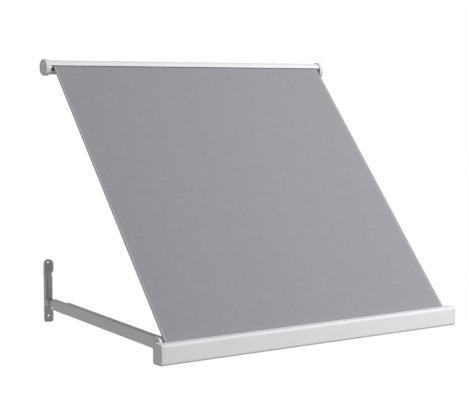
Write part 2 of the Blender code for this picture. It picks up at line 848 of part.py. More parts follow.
def spring_housing(side, name):
    """The raised form that stays in the tray: a strap beside the arm's groove, round a cup on top."""
    cup_outer = bracket_outer - cup_middle - CUP_RADIUS
    strap = bracket_outer - housing_outer
    beyond = HEAD_WIDTH + THROUGH
    corners = [
        (beyond, HOUSING_BOTTOM, 0),
        (strap, HOUSING_BOTTOM, 0),
        (strap, housing_neck, OUTLINE_CORNER),
        (cup_outer, BUFFER_HEIGHT - SHOULDER_DROP, OUTLINE_CORNER),
        (cup_outer, BUFFER_HEIGHT + CUP_RADIUS, CUP_RADIUS - WELD),
        (beyond, BUFFER_HEIGHT + CUP_RADIUS, 0),
    ]
    outline = [(side * (bracket_outer - u), v) for u, v in filleted(corners)]
    depth = 2 * CHANNEL_DEPTH
    return extruded(name, [outline], depth, (0, -depth / 2 + THROUGH, 0), FACE_ON)


def spring_hollow(side, name):
    """The hollow of the strap, open at the bottom, where the spring's leg stands."""
    room_outer = housing_outer - HOUSING_WALL
    room_inner = bracket_inner + CHANNEL_WALL
    bottom = HOUSING_BOTTOM - THROUGH
    top = SPRING_LEG + 2 * SPRING_WIRE
    outline = filleted(rectangle(-CHANNEL_DEPTH + CHANNEL_WALL, bottom, -FLOOR_THICKNESS, top))
    middle = (room_outer + room_inner) / 2
    return extruded(name, [outline], room_outer - room_inner, (side * middle, 0, 0), SIDE_ON)


def wall_bracket(side):
    """A tray with a rim, a groove for the folded arm, a housing for the spring, a cup and two ears."""
    name = "wall_bracket_" + SIDE_NAMES[side]
    reach = PIVOT_DEPTH + EAR_RADIUS
    block_depth = reach + THROUGH
    body = extruded(
        name, [bracket_outline(side)], block_depth, (0, -block_depth / 2, 0), FACE_ON, material=white_cast
    )
    ear_fillet = EAR_RADIUS - WELD
    over = THROUGH
    corners = [
        (over, TAB_BOTTOM - over, 0),
        (over, head_top + over, 0),
        (-HEAD_RIM, head_top + over, 0),
        (-HEAD_RIM, housing_neck, OUTLINE_CORNER),
        (-CHANNEL_DEPTH, BUFFER_HEIGHT - STEP_DROP, OUTLINE_CORNER),
        (-CHANNEL_DEPTH, EAR_RADIUS, HEEL_CORNER),
        (-reach, EAR_RADIUS, ear_fillet),
        (-reach, -EAR_RADIUS, ear_fillet),
        (-CHANNEL_DEPTH, -EAR_RADIUS, HEEL_CORNER),
        (-TAB_RIM, CHANNEL_BOTTOM, OUTLINE_CORNER),
        (-TAB_RIM, TAB_BOTTOM - over, 0),
    ]
    width = TAB_WIDTH + HEAD_WIDTH
    rim_shape = extruded(
        name + "_rim", [filleted(corners)], 2 * width, (side * bracket_outer, 0, 0), SIDE_ON
    )
    pocket_depth = block_depth + THROUGH
    pocket = extruded(
        name + "_pocket",
        [bracket_outline(side, CHANNEL_WALL)],
        pocket_depth,
        (0, -FLOOR_THICKNESS - pocket_depth / 2, 0),
        FACE_ON,
    )
    cup_depth = HEAD_RIM - FLOOR_THICKNESS + THROUGH
    cup = cylinder(
        name + "_cup",
        CUP_RADIUS - CUP_WALL,
        cup_depth / 2,
        -cup_depth / 2,
        (side * cup_middle, -FLOOR_THICKNESS - cup_depth / 2, BUFFER_HEIGHT),
        RIGHT,
    )
    cup.rotation_euler = (-math.pi / 2, 0, 0)
    combine(pocket, spring_housing(side, name + "_housing"), "DIFFERENCE")
    combine(body, rim_shape, "INTERSECT")
    combine(body, pocket, "DIFFERENCE")
    combine(body, cup, "DIFFERENCE")
    combine(body, spring_hollow(side, name + "_hollow"), "DIFFERENCE")
    pin_hole = cylinder(
        name + "_pin_hole",
        PIVOT_PIN_RADIUS + GAP,
        bracket_outer + THROUGH,
        bracket_inner - THROUGH,
        pivot,
        side,
    )
    combine(body, pin_hole, "DIFFERENCE")
    screw_places = [("head", HEAD_WIDTH, head_hole_height), ("tab", TAB_WIDTH, TAB_HOLE_HEIGHT)]
    for label, width, height in screw_places:
        hole = cylinder(
            name + "_hole_" + label,
            WALL_HOLE_RADIUS,
            THROUGH,
            -FLOOR_THICKNESS - THROUGH,
            (side * (bracket_outer - width / 2), 0, height),
            RIGHT,
        )
        hole.rotation_euler = (-math.pi / 2, 0, 0)
        combine(body, hole, "DIFFERENCE")


def pivot_pin(side):
    """The headed pin through both ears of the wall bracket."""
    head = bracket_outer + GAP
    end = bracket_inner - PIN_END
    profile = [
        (0, head + PIN_HEAD),
        (PIN_HEAD_RADIUS, head + PIN_HEAD),
        (PIN_HEAD_RADIUS, head),
        (PIVOT_PIN_RADIUS, head),
        (PIVOT_PIN_RADIUS, end),
        (0, end),
    ]
    name = "pivot_pin_" + SIDE_NAMES[side]
    turned(name, profile, pivot, side, material=plain_steel, steps=SMALL_ROUND_STEPS)


def arm_buffer(side):
    """The rubber button on the bracket's floor that the closed arm leans on."""
    lean = math.radians(ARM_CLOSED_LEAN)
    arm_back = PIVOT_DEPTH + BUFFER_HEIGHT * math.tan(lean) - ARM_HEIGHT / 2 / math.cos(lean)
    tilt_room = BUFFER_RADIUS * math.tan(lean)
    top = arm_back - GAP - tilt_room
    floor = FLOOR_THICKNESS + GAP
    profile = [(0, top)]
    edge_ring = BUFFER_RADIUS - BUFFER_EDGE
    profile += reversed(arc((edge_ring, top - BUFFER_EDGE), BUFFER_EDGE, 0, math.pi / 2, EDGE_STEP))
    profile += [(BUFFER_RADIUS, floor), (0, floor)]
    middle = (side * cup_middle, 0, BUFFER_HEIGHT)
    name = "arm_buffer_" + SIDE_NAMES[side]
    made = turned(name, profile, middle, RIGHT, material=rubber, steps=SMALL_ROUND_STEPS)
    made.rotation_euler = (math.pi / 2, 0, 0)


def arm_spring(side):
    """A torsion spring round the pivot pin: one leg on the bracket's floor, one on the heel's lug."""
    name = "arm_spring_" + SIDE_NAMES[side]
    room_outer = heel_inner - SIDE_PLAY - SPRING_WIRE
    room_inner = bracket_inner + CHANNEL_WALL + SIDE_PLAY + SPRING_WIRE
    floor_line = FLOOR_THICKNESS + GAP + SPRING_WIRE - PIVOT_DEPTH
    foot = Vector((-floor_line, SPRING_LEG))
    # The floor leg touches the coil where its line from the foot is a tangent.
    foot_angle = math.atan2(foot.y, foot.x)
    touch_angle = foot_angle - math.acos(SPRING_RADIUS / foot.length)
    arm_turn = math.pi / 2 + droop
    end_turn = arm_turn + 2 * math.pi * SPRING_TURNS
    start_turn = touch_angle
    points = [(room_inner, foot.x, foot.y)]
    steps = SPRING_TURNS * SPRING_SIDES
    span = end_turn - start_turn
    for index in range(steps + 1):
        turn = start_turn + span * index / steps
        across = room_inner + (room_outer - room_inner) * index / steps
        points.append((across, SPRING_RADIUS * math.cos(turn), SPRING_RADIUS * math.sin(turn)))
    leg = LUG_REACH + LUG_RADIUS
    tip = Vector((-math.cos(droop), -math.sin(droop))) * leg
    points.append((room_outer, points[-1][1] + tip.x, points[-1][2] + tip.y))
    curve = bpy.data.curves.new(name, "CURVE")
    curve.dimensions = "3D"
    curve.bevel_depth = SPRING_WIRE
    curve.bevel_resolution = 2
    curve.use_fill_caps = True
    spline = curve.splines.new("POLY")
    spline.points.add(len(points) - 1)
    for point, (across, depth, height) in zip(spline.points, points):
        point.co = (side * across, depth, height, 1)
    drawing = bpy.data.objects.new(name + "_drawing", curve)
    solid_from_curve(drawing, name, pivot, (0, 0, 0), None, plain_steel)


# Front bar


def bar_corners(distance=0.0):
    """The bar's rounded rectangle from its left end, moved inwards by a distance."""
    corners = rectangle(bar_front, bar_bottom, bar_rear, bar_top, BAR_CORNER)
    return inset(corners, distance) if distance else corners


def split_at_top(corners):
    """A filleted rectangle as one run that starts and ends on its top side."""
    return filleted([corners[3]] + corners[:3])


def bar_profile():
    """The hollow bar with its round rod groove, open to the top through a slot, and arm notches."""
    slot_height = bar_top - BAR_WALL / 2
    rise = slot_height - groove.y
    run_down = (rise - hem_radius * math.sin(leaving_angle)) / along.y
    slot_middle = groove.x + hem_radius * math.cos(leaving_angle) + run_down * along.x
    slot_left = slot_middle - SLOT_WIDTH / 2
    slot_right = slot_middle + SLOT_WIDTH / 2
    left_angle = math.pi - math.acos((groove.x - slot_left) / groove_radius)
    right_angle = math.acos((slot_right - groove.x) / groove_radius)
    outline = split_at_top(bar_corners())
    outline += [(slot_right, bar_top)]
    outline += arc(groove, groove_radius, right_angle, left_angle - 2 * math.pi, FILLET_STEP)
    outline += [(slot_left, bar_top)]
    housing_angle = math.asin((bar_top - BAR_WALL - groove.y) / housing_radius)
    hollow = split_at_top(bar_corners(BAR_WALL))
    hollow += arc(groove, housing_radius, housing_angle, -math.pi - housing_angle, FILLET_STEP)
    made = extruded(
        "bar_profile", [outline, hollow], 2 * bar_half, (0, 0, 0), SIDE_ON, bar_axis, white_coat
    )
    notch_half = hinge_width / 2 + GAP
    for side in (LEFT, RIGHT):
        corners = rectangle(notch_front, bar_bottom - THROUGH, -bar_rear + THROUGH, bar_top + THROUGH)
        cutter = extruded(
            "notch_cutter_" + SIDE_NAMES[side],
            [filleted(corners)],
            2 * notch_half,
            (side * arm_middle, 0, 0),
            SIDE_ON,
            bar_axis,
        )
        combine(made, cutter, "DIFFERENCE")


def bar_cap(side):
    """The thick end cap of the bar, with a shallow plug inside the hollow."""
    name = "bar_cap_" + SIDE_NAMES[side]
    cap = extruded(
        name,
        [filleted(bar_corners())],
        BAR_CAP,
        (side * (half_width - BAR_CAP / 2), 0, 0),
        SIDE_ON,
        bar_axis,
        white_plastic,
    )
    edge = cap.modifiers.new("rounded_edge", "BEVEL")
    edge.width = BAR_CAP_EDGE
    edge.segments = 2
    edge.limit_method = "ANGLE"
    edge.angle_limit = math.radians(60)
    clear = BAR_WALL + GAP
    plug_top = groove.y - housing_radius - GAP
    corner = BAR_CORNER - clear
    plug_outline = [
        (bar_front + clear, bar_bottom + clear, corner),
        (bar_rear - clear, bar_bottom + clear, corner),
        (bar_rear - clear, plug_top, 0),
        (bar_front + clear, plug_top, 0),
    ]
    plug = extruded(
        name + "_plug",
        [filleted(plug_outline)],
        BAR_CAP_PLUG + GAP + BAR_CAP_EDGE,
        (side * (bar_half - (BAR_CAP_PLUG - GAP - BAR_CAP_EDGE) / 2), 0, 0),
        SIDE_ON,
        bar_axis,
    )
    combine(cap, plug, "UNION")


def bar_hinge(side):
    """The forked hinge inside the bar: a web on the front wall and a cheek each side of the arm."""
    name = "bar_hinge_" + SIDE_NAMES[side]
    front = bar_front + BAR_WALL + GAP
    bottom = bar_bottom + BAR_WALL + GAP
    ear = arc((0, 0), HINGE_EAR, math.radians(150), math.radians(-60), FILLET_STEP)
    lower = [
        (bar_rear - BAR_WALL - GAP, bottom / 2),
        (bar_rear - BAR_WALL - GAP - HINGE_CORNER, bottom),
        (front + HINGE_CORNER, bottom),
    ]
    front_corner = arc(
        (front + HINGE_CORNER, bottom + HINGE_CORNER), HINGE_CORNER, -math.pi / 2, -math.pi, FILLET_STEP
    )
    outline = [(-HINGE_SHOULDER, HINGE_TOP)] + ear + lower + front_corner[1:] + [(front, HINGE_TOP)]
    fork = extruded(
        name, [outline], hinge_width, (side * arm_middle, 0, 0), SIDE_ON, bar_axis, white_cast
    )
    room = ARM_THICKNESS + 2 * SIDE_PLAY
    corners = rectangle(front + HINGE_WEB, bottom - THROUGH, HINGE_EAR + THROUGH, HINGE_EAR + THROUGH)
    slot = extruded(
        name + "_slot", [filleted(corners)], room, (side * arm_middle, 0, 0), SIDE_ON, bar_axis
    )
    combine(fork, slot, "DIFFERENCE")
    fork_outer = arm_middle + hinge_width / 2
    fork_inner = arm_middle - hinge_width / 2
    pin_hole = cylinder(
        name + "_pin_hole",
        PIVOT_PIN_RADIUS + GAP,
        fork_outer + THROUGH,
        fork_inner - THROUGH,
        (0, 0, 0),
        side,
        bar_axis,
    )
    combine(fork, pin_hole, "DIFFERENCE")
    head = fork_outer + GAP
    profile = [
        (0, head + PIN_HEAD),
        (PIN_HEAD_RADIUS, head + PIN_HEAD),
        (PIN_HEAD_RADIUS, head),
        (PIVOT_PIN_RADIUS, head),
        (PIVOT_PIN_RADIUS, fork_inner - PIN_END),
        (0, fork_inner - PIN_END),
    ]
    name = "bar_pin_" + SIDE_NAMES[side]
    turned(name, profile, (0, 0, 0), side, bar_axis, plain_steel, SMALL_ROUND_STEPS)


cassette_profile()
end_cap(LEFT)
cable_inlet(end_cap(RIGHT))
roller()
roller_idler()
tube_motor()
fabric()
hem_rod()
bar_profile()
for side in (LEFT, RIGHT):
    cassette_clip(side)
    wall_bracket(side)
    pivot_pin(side)
    arm_buffer(side)
    arm_spring(side)
    arm_heel(side)
    heel_bush(side)
    arm_tube(side)
    arm_tip(side)
    bar_cap(side)
    bar_hinge(side)
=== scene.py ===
import json
import math

import bmesh
import bpy
from mathutils import Matrix, Vector


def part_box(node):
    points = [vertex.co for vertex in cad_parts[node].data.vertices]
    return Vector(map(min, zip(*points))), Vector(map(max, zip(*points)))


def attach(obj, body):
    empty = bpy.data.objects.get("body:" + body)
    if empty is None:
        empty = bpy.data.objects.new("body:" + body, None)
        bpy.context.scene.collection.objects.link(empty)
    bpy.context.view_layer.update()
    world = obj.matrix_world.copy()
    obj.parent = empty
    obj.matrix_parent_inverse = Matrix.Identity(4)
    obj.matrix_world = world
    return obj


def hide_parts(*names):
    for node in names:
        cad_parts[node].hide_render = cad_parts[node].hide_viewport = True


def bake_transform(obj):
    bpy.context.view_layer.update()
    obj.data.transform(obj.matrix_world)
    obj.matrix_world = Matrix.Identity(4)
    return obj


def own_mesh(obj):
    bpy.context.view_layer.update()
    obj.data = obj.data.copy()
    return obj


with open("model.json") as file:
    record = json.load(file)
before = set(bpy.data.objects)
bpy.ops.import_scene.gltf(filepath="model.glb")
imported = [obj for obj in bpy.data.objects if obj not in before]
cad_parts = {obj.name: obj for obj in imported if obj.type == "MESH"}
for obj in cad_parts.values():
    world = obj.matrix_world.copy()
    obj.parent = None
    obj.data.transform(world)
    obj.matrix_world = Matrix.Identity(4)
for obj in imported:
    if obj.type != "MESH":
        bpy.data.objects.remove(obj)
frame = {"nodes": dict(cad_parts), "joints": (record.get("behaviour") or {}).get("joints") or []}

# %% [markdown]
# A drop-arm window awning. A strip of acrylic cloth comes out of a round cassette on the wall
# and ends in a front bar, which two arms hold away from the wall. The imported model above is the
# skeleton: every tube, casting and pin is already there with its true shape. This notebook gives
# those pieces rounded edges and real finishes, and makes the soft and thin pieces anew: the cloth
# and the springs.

MM = 0.001
nodes = frame["nodes"]
joints = {joint["name"]: joint for joint in frame["joints"]}
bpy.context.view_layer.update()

# %% [markdown]
# The camera comes first, because everything is judged through it. It stands six metres away, to
# the left and a little above, with a long lens, so the verticals stay nearly parallel. A focal
# length in pixels was measured on the picture; a 36 mm sensor turns it into millimetres. The two
# angles, in degrees, say how far it looks down, and how far to the right of straight at the wall.

# %% Camera
FRAME_WIDTH = 468
FOCAL_PIXELS = 1268.1
SENSOR = 36.0
CAMERA_PLACE = (-3.1567, -5.0383, 0.9346)
CAMERA_DIP = 5.303
CAMERA_TURN = 34.275

camera_data = bpy.data.cameras.new("camera")
camera_data.sensor_width = SENSOR
camera_data.lens = FOCAL_PIXELS / FRAME_WIDTH * SENSOR
camera = bpy.data.objects.new("camera", camera_data)
camera.location = CAMERA_PLACE
camera.rotation_euler = (math.radians(90 - CAMERA_DIP), 0, math.radians(-CAMERA_TURN))
bpy.context.scene.collection.objects.link(camera)
bpy.context.scene.camera = camera
print("lens:", round(camera_data.lens, 2), "mm")

# %% [markdown]
# A finish is a small graph of nodes. One helper adds a node, sets its settings and joins it to
# others: a pair of a node and an output name becomes a link, anything else becomes a value. A
# second helper turns the hex colours that designers write, which are sRGB, into the linear
# values that a renderer counts with, and a third makes a plain grey of a given level.

# %% Three helpers for finishes


def add(tree, kind, inputs=(), **settings):
    """Add a node; inputs are (socket, value) pairs, where a (node, output) value is a link."""
    made = tree.nodes.new(kind)
    for name, value in settings.items():
        setattr(made, name, value)
    for socket, value in inputs:
        if isinstance(value, tuple) and isinstance(value[0], bpy.types.Node):
            tree.links.new(value[0].outputs[value[1]], made.inputs[socket])
        else:
            made.inputs[socket].default_value = value
    return made


def linear(hex_colour):
    """An sRGB colour such as '#d8d9db' as linear red, green, blue and alpha."""
    channels = [int(hex_colour[i : i + 2], 16) / 255 for i in (1, 3, 5)]
    return (*[c / 12.92 if c <= 0.04045 else ((c + 0.055) / 1.055) ** 2.4 for c in channels], 1.0)


def grey(level):
    """A linear grey with alpha; a level above 1 lightens what it is multiplied with."""
    return (level, level, level, 1.0)


print("white coat, linear:", [round(c, 3) for c in linear("#eeeeee")[:3]])

# %% [markdown]
# Most finishes here share one build: a base colour that drifts a little between two tones, a
# roughness that drifts too, and a fine relief. They differ in how large each pattern is, and that
# is worked out from a real size: a noise with scale 1 / size has blobs of about that size.

# %% A drifting finish


def drifting_finish(
    name, tones, tone_size, roughness, relief_size, relief_depth, metallic=0.0, sheen_level=0.5
):
    """A material whose colour, roughness and relief vary by noise of real sizes in metres."""
    made = bpy.data.materials.new(name)
    made.use_nodes = True
    tree = made.node_tree
    shader = tree.nodes["Principled BSDF"]
    place = add(tree, "ShaderNodeTexCoord")
    drift = add(
        tree,
        "ShaderNodeTexNoise",
        [("Vector", (place, "Object")), ("Scale", 1 / tone_size), ("Detail", 3.0)],
    )
    colour = add(
        tree,
        "ShaderNodeMix",
        [(0, (drift, 0)), (6, linear(tones[0])), (7, linear(tones[1]))],
        data_type="RGBA",
    )
    gloss = add(
        tree,
        "ShaderNodeMapRange",
        [(0, (drift, 0)), (3, roughness[0]), (4, roughness[1])],
    )
    grain = add(
        tree,
        "ShaderNodeTexNoise",
        [("Vector", (place, "Object")), ("Scale", 1 / relief_size), ("Detail", 2.0)],
    )
    bump = add(
        tree,
        "ShaderNodeBump",
        [("Strength", 1.0), ("Distance", relief_depth), ("Height", (grain, 0))],
    )
    tree.links.new(colour.outputs[2], shader.inputs["Base Color"])
    tree.links.new(gloss.outputs[0], shader.inputs["Roughness"])
    tree.links.new(bump.outputs[0], shader.inputs["Normal"])
    shader.inputs["Metallic"].default_value = metallic
    shader.inputs["Specular IOR Level"].default_value = sheen_level
    return made


# %% [markdown]
# The cassette, the bar and the arm tubes are extruded aluminium with a white powder coat. The
# powder melts in an oven and flows nearly flat, but a faint waviness stays, called orange peel.
# It is one to two millimetres across and only microns deep, and it softens every reflection. The
# coat is a matt one: its white stays even and no lamp shows in it, so its mirror share is low.

# %% Powder-coated aluminium
MATT = 0.1
powder_coat = drifting_finish(
    "powder_coated_aluminium",
    ("#ededee", "#f1f1f1"),
    90 * MM,
    (0.52, 0.6),
    1.6 * MM,
    0.012 * MM,
    sheen_level=MATT,
)
print("made", powder_coat.name)

# %% [markdown]
# The castings, which are the wall brackets, the arm heels, the arm tips and the forks, carry the
# same coat on a rougher skin: sand or die marks under the paint make the relief coarser, and the
# coat is a touch duller there. The pins that the arms turn on are painted along with them.

# %% Coated cast aluminium
cast_coat = drifting_finish(
    "coated_cast_aluminium",
    ("#ebebeb", "#f0f0f0"),
    40 * MM,
    (0.56, 0.66),
    2.8 * MM,
    0.035 * MM,
    sheen_level=MATT,
)
print("made", cast_coat.name)

# %% [markdown]
# The end caps are moulded ABS. The mould's surface is spark-eroded, so the caps have a very fine
# even grain and are a little warmer than the coat beside them. The motor's housing is of the same
# plastic. What turns or rubs inside, such as bushes and plugs, is black nylon.

# %% Moulded plastics
white_abs = drifting_finish(
    "moulded_white_abs",
    ("#ebebea", "#eeeeec"),
    60 * MM,
    (0.5, 0.58),
    0.9 * MM,
    0.01 * MM,
    sheen_level=MATT,
)
black_nylon = drifting_finish(
    "moulded_black_nylon", ("#1b1b1c", "#242425"), 30 * MM, (0.45, 0.55), 0.9 * MM, 0.012 * MM
)
print("made", white_abs.name, "and", black_nylon.name)

# %% [markdown]
# Clips, screws and springs are steel with a thin zinc plating: a cold, slightly blotchy metal. The
# roller is bare aluminium as it left the press, brighter and smoother than the plating.

# %% Bare metals
zinc_steel = drifting_finish(
    "zinc_plated_steel",
    ("#8b8f92", "#a3a7a9"),
    12 * MM,
    (0.4, 0.55),
    0.8 * MM,
    0.008 * MM,
    metallic=1.0,
)
mill_aluminium = drifting_finish(
    "mill_finish_aluminium",
    ("#b4b6b8", "#c6c8c9"),
    25 * MM,
    (0.32, 0.42),
    1.2 * MM,
    0.01 * MM,
    metallic=1.0,
)
print("made", zinc_steel.name, "and", mill_aluminium.name)

# %% [markdown]
# The buffers that the folded arms lean on are moulded pale grey rubber, nearly without gloss.

# %% Rubber
buffer_rubber = drifting_finish(
    "moulded_epdm_rubber", ("#d6d7d8", "#dedfe0"), 20 * MM, (0.7, 0.85), 1.0 * MM, 0.03 * MM
)
print("made", buffer_rubber.name)

# %% [markdown]
# Awning cloth is solution-dyed acrylic in plain weave, thirty threads to the inch, too fine to
# show from six metres. It is drawn three times as coarse, so a hint of the weave is left. Yarn is
# never even: slubs make short streaks along the threads, lighter or darker than the rest. Two
# waves make the threads, one across and one down the cloth, and stretched noise makes the slubs.
# A wave of scale s repeats every pi / 10 / s.

# %% Threads and slubs
THREAD = 2.4 * MM
THREAD_WAVER = 0.4
SLUB_LENGTH = 60 * MM
SLUB_WIDTH = 3 * MM
SLUB_RANGE = (0.7, 1.3)
YARN_TONES = ("#929499", "#9c9ea4")
CROSSING_TONE = "#9ea0a6"


def woven_threads(tree, place, run_angle):
    """Nodes for the weave, high where threads cross, and for the colour of its yarn."""
    turned = add(
        tree,
        "ShaderNodeMapping",
        [("Vector", (place, "Object")), ("Rotation", (-run_angle, 0, 0))],
    )
    threads = []
    streaks = []
    for direction, stretch in (
        ("X", (1 / SLUB_LENGTH, 1 / SLUB_WIDTH, 1)),
        ("Y", (1 / SLUB_WIDTH, 1 / SLUB_LENGTH, 1)),
    ):
        wave = add(
            tree,
            "ShaderNodeTexWave",
            [
                ("Vector", (turned, 0)),
                ("Scale", math.pi / 10 / THREAD),
                ("Distortion", THREAD_WAVER),
            ],
            bands_direction=direction,
        )
        threads.append(wave)
        scaled = add(tree, "ShaderNodeMapping", [("Vector", (turned, 0)), ("Scale", stretch)])
        streak = add(
            tree, "ShaderNodeTexNoise", [("Vector", (scaled, 0)), ("Scale", 1.0), ("Detail", 2.0)]
        )
        streaks.append(streak)
    weave = add(
        tree,
        "ShaderNodeMath",
        [(0, (threads[0], 1)), (1, (threads[1], 1))],
        operation="MULTIPLY",
    )
    slubs = add(
        tree,
        "ShaderNodeMath",
        [(0, (streaks[0], 0)), (1, (streaks[1], 0))],
        operation="ADD",
    )
    slub_tone = add(
        tree, "ShaderNodeMapRange", [(0, (slubs, 0)), (1, SLUB_RANGE[0]), (2, SLUB_RANGE[1])]
    )
    tone = add(
        tree,
        "ShaderNodeMix",
        [(0, (slub_tone, 0)), (6, linear(YARN_TONES[0])), (7, linear(YARN_TONES[1]))],
        data_type="RGBA",
    )
    shade = add(
        tree,
        "ShaderNodeMix",
        [(0, (weave, 0)), (6, (tone, 2)), (7, linear(CROSSING_TONE))],
        data_type="RGBA",
    )
    return weave, shade


print("threads", round(THREAD / MM, 1), "mm apart, slubs", round(SLUB_LENGTH / MM), "mm long")

# %% [markdown]
# The side edges get a band of their own: its last few millimetres are darker, and the strip beside
# them is lighter, a painted highlight. The tones of that band are given as pairs, a share of its
# width counted from the cut edge and how light the cloth is there, and a colour ramp runs through
# them. The new ramp's own two stops are taken out once the others are in.

# %% Darker side edges with a painted highlight beside them
PAINTED_EDGE_BAND_WIDTH = 12 * MM
# The levels below 1 darken the cloth at the cut edge; the levels above 1 further in are a painted
# highlight.
PAINTED_EDGE_BAND_TONES = ((0.0, 0.62), (0.32, 0.68), (0.42, 1.4), (0.88, 1.3), (1.0, 1.0))
fabric_low, fabric_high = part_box("fabric")


def painted_edge_band(tree, place):
    """A node for how light the cloth is near its side edges: darker at the cut, then a painted
    highlight.
    """
    across = add(tree, "ShaderNodeSeparateXYZ", [(0, (place, "Object"))])
    from_middle = add(tree, "ShaderNodeMath", [(0, (across, 0))], operation="ABSOLUTE")
    half = fabric_high.x
    in_edge_band = add(
        tree, "ShaderNodeMapRange", [(0, (from_middle, 0)), (1, half), (2, half - PAINTED_EDGE_BAND_WIDTH)]
    )
    edge_band_paint = add(tree, "ShaderNodeValToRGB", [(0, (in_edge_band, 0))])
    for position, level in PAINTED_EDGE_BAND_TONES:
        edge_band_paint.color_ramp.elements.new(position).color = grey(level)
    edge_band_paint.color_ramp.elements.remove(edge_band_paint.color_ramp.elements[0])
    edge_band_paint.color_ramp.elements.remove(edge_band_paint.color_ramp.elements[-1])
    return edge_band_paint


print("cloth in the frame:", round(fabric_high.x - fabric_low.x, 4), "m wide")

# %% [markdown]
# The threads and the edge band with its painted highlight are multiplied into one colour, and the
# crossings stand up as a slight relief.
# Spun acrylic is fuzzy, so it scatters nearly all light: very rough, with half the usual gloss.

# %% Woven acrylic
WEAVE_RELIEF = 0.05 * MM
CLOTH_ROUGHNESS = 0.92
CLOTH_SHEEN = 0.25


def woven_acrylic(run_angle):
    """Plain weave whose second thread direction lies at run_angle in the side view."""
    made = bpy.data.materials.new("woven_grey_acrylic")
    made.use_nodes = True
    tree = made.node_tree
    shader = tree.nodes["Principled BSDF"]
    place = add(tree, "ShaderNodeTexCoord")
    weave, shade = woven_threads(tree, place, run_angle)
    edge_band_paint = painted_edge_band(tree, place)
    # The darker cut edge and the painted edge highlight multiply the cloth's colour here.
    toned = add(
        tree,
        "ShaderNodeMix",
        [(0, 1.0), (6, (shade, 2)), (7, (edge_band_paint, 0))],
        data_type="RGBA",
        blend_type="MULTIPLY",
    )
    bump = add(
        tree,
        "ShaderNodeBump",
        [("Strength", 1.0), ("Distance", WEAVE_RELIEF), ("Height", (weave, 0))],
    )
    tree.links.new(toned.outputs[2], shader.inputs["Base Color"])
    tree.links.new(bump.outputs[0], shader.inputs["Normal"])
    shader.inputs["Roughness"].default_value = CLOTH_ROUGHNESS
    shader.inputs["Specular IOR Level"].default_value = CLOTH_SHEEN
    return made


# %% [markdown]
# The pieces of the skeleton have knife-sharp edges, and nothing real does. Each gets the same four
# modifiers: weld the loose triangles together, merge the flat ones into whole faces, round the
# edges a little, and let the large faces decide the shading. The rounding differs by process:
# extrusions and mouldings are crisp, castings are softer, and small turned or punched pieces have
# a small chamfer.

# %% Round the edges of the skeleton
WELD_GAP = 0.01 * MM
FLAT_ANGLE = math.radians(1)
SHARP_ANGLE = math.radians(35)
CRISP_EDGE = 0.4 * MM
CAST_EDGE = 0.8 * MM
SMALL_EDGE = 0.3 * MM
TUBE_EDGE = 0.2 * MM
SIDES = ("left", "right")


def soften(node, edge, finish):
    """Weld a node's faces, round its edges by edge (metres) and give it a finish."""
    piece = nodes[node]
    mesh = piece.data
    if mesh.attributes.get("custom_normal"):
        mesh.attributes.remove(mesh.attributes["custom_normal"])
    mesh.shade_smooth()
    weld = piece.modifiers.new("weld", "WELD")
    weld.merge_threshold = WELD_GAP
    flatten = piece.modifiers.new("whole faces", "DECIMATE")
    flatten.decimate_type = "DISSOLVE"
    flatten.angle_limit = FLAT_ANGLE
    rounding = piece.modifiers.new("rounded edges", "BEVEL")
    rounding.width = edge
    rounding.segments = 2
    rounding.limit_method = "ANGLE"
    rounding.angle_limit = SHARP_ANGLE
    rounding.harden_normals = True
    shading = piece.modifiers.new("shading", "WEIGHTED_NORMAL")
    shading.keep_sharp = True
    mesh.materials.clear()
    mesh.materials.append(finish)


for name in ("cassette_profile", "bar_profile"):
    soften(name, CRISP_EDGE, powder_coat)
for side in SIDES:
    soften("arm_tube_" + side, CRISP_EDGE, powder_coat)
    for name in ("wall_bracket_", "arm_heel_", "arm_tip_", "bar_hinge_"):
        soften(name + side, CAST_EDGE, cast_coat)
    for name in ("end_cap_", "bar_cap_"):
        soften(name + side, CRISP_EDGE, white_abs)
    for name in ("pivot_pin_", "bar_pin_"):
        soften(name + side, SMALL_EDGE, cast_coat)
    for name in ("cassette_clip_", "clip_screw_"):
        soften(name + side, SMALL_EDGE, zinc_steel)
    for name in ("heel_bush_", "tip_bush_"):
        soften(name + side, SMALL_EDGE, black_nylon)
    soften("arm_buffer_" + side, CRISP_EDGE, buffer_rubber)
for name in ("roller_idler", "drive_wheel", "cable_grommet", "hem_rod"):
    soften(name, SMALL_EDGE, black_nylon)
soften("tube_motor", SMALL_EDGE, white_abs)
soften("roller_pin", SMALL_EDGE, zinc_steel)
soften("roller_tube", TUBE_EDGE, mill_aluminium)
softened = [name for name, piece in nodes.items() if piece.modifiers]
print("softened", len(softened), "of", len(nodes), "pieces")

# %% [markdown]
# The cloth is one strip in three parts: turns on the roller, the straight run, and the hem round
# the rod in the bar's groove. Seen from the side it is a line that touches two circles, so its
# direction follows from the two centres and the two radii.

# %% The cloth's path from the side
CLOTH = 0.6 * MM
SEAT = 0.3 * MM
ROLLER_WRAP = math.radians(330)
HEM_WRAP = math.radians(300)


def side_centre(node):
    """The middle of a node's box as (y, z), and half its height."""
    low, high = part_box(node)
    middle = (low + high) / 2
    return Vector((middle.y, middle.z)), (high.z - low.z) / 2


roller_centre, roller_radius = side_centre("roller_tube")
rod_centre, rod_radius = side_centre("hem_rod")
roll_radius = roller_radius + SEAT + CLOTH / 2
hem_radius = rod_radius + SEAT + CLOTH / 2


def run_direction(end, end_radius):
    """The angle of the line that touches the roll and a circle round end on their outer side."""
    between = end - roller_centre
    tilt = math.asin((roll_radius - end_radius) / between.length)
    return math.atan2(between.y, between.x) + tilt


def on_circle(centre, radius, angle):
    """The point of a circle in the side view that lies at an angle from its centre."""
    return centre + radius * Vector((math.cos(angle), math.sin(angle)))


run_angle = run_direction(rod_centre, hem_radius)
leave_angle = run_angle - math.pi / 2
leave_point = on_circle(roller_centre, roll_radius, leave_angle)
enter_point = on_circle(rod_centre, hem_radius, leave_angle)
along = (enter_point - leave_point).normalized()
print("the cloth goes down at", round(math.degrees(run_angle), 2), "degrees")
